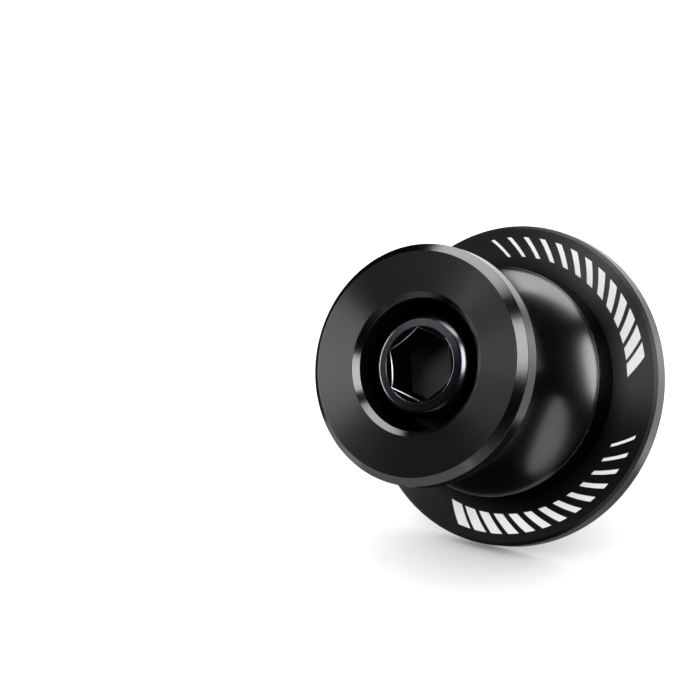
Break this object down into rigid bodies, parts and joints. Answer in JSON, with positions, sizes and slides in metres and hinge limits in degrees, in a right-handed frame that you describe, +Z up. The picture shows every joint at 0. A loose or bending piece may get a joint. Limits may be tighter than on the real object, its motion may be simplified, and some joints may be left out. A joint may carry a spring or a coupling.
{
  "type": "swingarm spool",
  "caption": "Turned waisted spool on a flat ring, held by a recessed hexagon socket screw, for a lifting stand's hook to grip under a motorbike swingarm.",
  "frame": {"origin": "on the spool's axle, in the plane of the rear face that seats on the swingarm", "axes": "+Y along the axle and out of the rear face, along the screw's thread; the front face looks along -Y; +Z up as on the motorbike"},
  "size_m": [0.052, 0.0563, 0.052],
  "materials": {
    "black_anodised_body": "turned aluminium, glossy black anodised",
    "satin_black_ring": "satin black face with a bare grey rim and pale printed marks",
    "dark_washer_steel": "blackened steel",
    "dark_screw_steel": "blackened steel with bright worn edges"
  },
  "bodies": {
    "root": {"spool_body": "black_anodised_body", "flange_ring": "satin_black_ring", "plain_washer": "dark_washer_steel", "cap_screw": "dark_screw_steel"}
  },
  "joints": []
}
